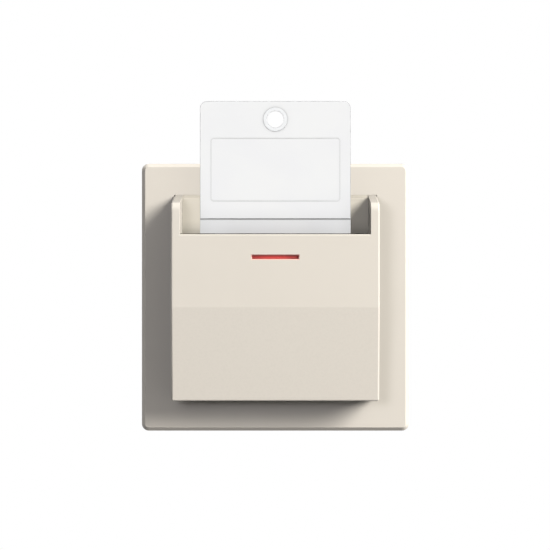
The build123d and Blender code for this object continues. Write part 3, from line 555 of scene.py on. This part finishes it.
# ------------------------------------------------------------------ threads of the claw screws
for side, body in ((-1, "claw_screw_left"), (1, "claw_screw_right")):
    mesh = coil("screw_thread", 0.0, 0.0, 0.4 * MM, 12.7 * MM, 1.17 * MM, 0.40 * MM, 0.05, 17.0,
                sides=8, per_turn=24)
    for v in mesh.vertices:
        px, py, pz = v.co
        v.co = (px + side * 26.8 * MM, pz, -11.0 * MM - py)
    mesh.update()
    o = bpy.data.objects.new(body + "_thread", mesh)
    scene.collection.objects.link(o)
    o.data.materials.append(zinc_steel)
    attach(o, body)

# ------------------------------------------------------------------ floor, light, camera
bpy.ops.mesh.primitive_plane_add(size=3.0, location=(0, 0.4, -0.50))
floor = bpy.context.object
floor.name = "floor"
k = Mat("floor_pale")
cloud = k.noise(120.0, 2.0, 0.5)
k.colour(k.mix(cloud, lin(236, 236, 234), lin(240, 240, 238)))
k.rough(k.span(cloud, 0.3, 0.7, 0.75, 0.85))
k.set(Emission_Color=(1.0, 1.0, 1.0, 1.0), Emission_Strength=0.40)
floor.data.materials.append(k.m)
floor.visible_diffuse = False
floor.visible_glossy = False


def only(name, objects, state):
    """A collection for light linking, with every object in one state."""
    group = bpy.data.collections.new(name)
    for o in objects:
        group.objects.link(o)
    for entry in group.collection_objects:
        entry.light_linking.link_state = state
    return group


def disk_light(name, towards, power, size, distance=3.0, colour=(1.0, 1.0, 1.0), shine=True):
    """A round soft light at a distance from the part, in a direction."""
    lamp = bpy.data.lights.new(name, "AREA")
    lamp.shape = "DISK"
    lamp.size = size
    lamp.energy = power
    lamp.color = colour
    o = bpy.data.objects.new(name, lamp)
    way = Vector(towards).normalized()
    o.location = Vector((0, -0.01, 0)) + way * distance
    o.rotation_euler = way.to_track_quat("Z", "Y").to_euler()
    o.visible_glossy = shine
    scene.collection.objects.link(o)
    return o


# the card is lit on its own, softly from the front, and neither throws nor takes a shadow
card_things = [nodes["key_card"], nodes["card_eyelet"]]


def for_holder(lamp):
    lamp.light_linking.receiver_collection = only(lamp.name + "_receivers", card_things, "EXCLUDE")
    lamp.light_linking.blocker_collection = only(lamp.name + "_blockers", card_things, "EXCLUDE")


def for_card(lamp):
    lamp.light_linking.receiver_collection = only(lamp.name + "_receivers", card_things, "INCLUDE")
    lamp.light_linking.blocker_collection = only(lamp.name + "_blockers", card_things, "INCLUDE")


for_holder(disk_light("key", (1.245, -1.0, 0.745), 32.4, 0.88, distance=1.6,
                      colour=(1.0, 0.995, 0.96)))
for_holder(disk_light("fill", (-0.2309, -1.0, 0.0955), 0.57, 0.12, distance=0.526,
                      colour=(0.92, 0.935, 1.0), shine=False))
for_card(disk_light("card_light", (0.06, -1.0, 0.24), 84.0, 2.0, shine=False))

# the room: plain white where the camera looks past the part, and round the part a soft
# light from above and from the right, brighter behind it; gloss sees brighter surroundings
world = bpy.data.worlds.new("studio")
scene.world = world
world.use_nodes = True
wt = world.node_tree
wt.nodes.clear()


def wnode(kind, **inputs):
    n = wt.nodes.new(kind)
    for key, value in inputs.items():
        socket = n.inputs[key.replace("_", " ")]
        if hasattr(value, "links"):
            wt.links.new(value, socket)
        else:
            socket.default_value = value
    return n


def wmath(op, a, b):
    n = wt.nodes.new("ShaderNodeMath")
    n.operation = op
    for i, v in enumerate((a, b)):
        if isinstance(v, (int, float)):
            n.inputs[i].default_value = v
        else:
            wt.links.new(v, n.inputs[i])
    return n.outputs[0]


def wspan(value, a, b, lo, hi):
    n = wt.nodes.new("ShaderNodeMapRange")
    n.interpolation_type = "SMOOTHSTEP"
    wt.links.new(value, n.inputs["Value"])
    for key, v in (("From Min", a), ("From Max", b), ("To Min", lo), ("To Max", hi)):
        n.inputs[key].default_value = v
    return n.outputs[0]


way = wt.nodes.new("ShaderNodeSeparateXYZ")
wt.links.new(wt.nodes.new("ShaderNodeTexCoord").outputs["Generated"], way.inputs[0])
wx, wy, wz = way.outputs
above = wmath("MULTIPLY", wmath("MAXIMUM", wz, 0.0), 0.345)
right = wmath("MULTIPLY", wmath("MAXIMUM", wx, 0.0), 0.34)
behind = wspan(wy, 0.45, 0.95, 0.0, 1.5)
strength = wmath("ADD", wmath("ADD", above, right), behind)
lit = wnode("ShaderNodeBackground", Color=(1.0, 1.0, 0.965, 1.0), Strength=strength)
bright = wmath("MAXIMUM", wspan(wz, 0.45, 0.90, 0.0, 1.9), wspan(wx, 0.30, 0.85, 0.0, 1.7))
bright = wmath("MAXIMUM", bright, wspan(wx, -0.30, -0.85, 0.0, 0.9))
bright = wmath("MAXIMUM", bright, wspan(wz, -0.30, -0.85, 0.0, 0.5))
bright = wmath("ADD", wmath("MAXIMUM", bright, wspan(wy, 0.20, 0.90, 0.0, 0.8)), 0.04)
glossy = wnode("ShaderNodeBackground", Color=(1.0, 0.995, 0.985, 1.0), Strength=bright)
plain = wnode("ShaderNodeBackground", Color=(1.0, 1.0, 1.0, 1.0), Strength=1.0)
path = wt.nodes.new("ShaderNodeLightPath")
by_gloss = wt.nodes.new("ShaderNodeMixShader")
wt.links.new(path.outputs["Is Glossy Ray"], by_gloss.inputs[0])
wt.links.new(lit.outputs[0], by_gloss.inputs[1])
wt.links.new(glossy.outputs[0], by_gloss.inputs[2])
by_view = wt.nodes.new("ShaderNodeMixShader")
wt.links.new(path.outputs["Is Camera Ray"], by_view.inputs[0])
wt.links.new(by_gloss.outputs[0], by_view.inputs[1])
wt.links.new(plain.outputs[0], by_view.inputs[2])
w_out = wt.nodes.new("ShaderNodeOutputWorld")
wt.links.new(by_view.outputs[0], w_out.inputs[0])

cam_data = bpy.data.cameras.new("camera")
cam_data.sensor_width = 36.0
cam_data.lens = 109.96
camera = bpy.data.objects.new("camera", cam_data)
camera.location = (-0.0001, -0.5184, 0.00674)
camera.rotation_euler = (math.radians(90), 0, 0)
scene.collection.objects.link(camera)
scene.camera = camera

# the photograph shows no light thrown from one pale face to the next
scene.cycles.diffuse_bounces = 0

scene.view_settings.view_transform = "Standard"
scene.view_settings.look = "None"
scene.view_settings.exposure = 0.0
scene.view_settings.gamma = 1.0
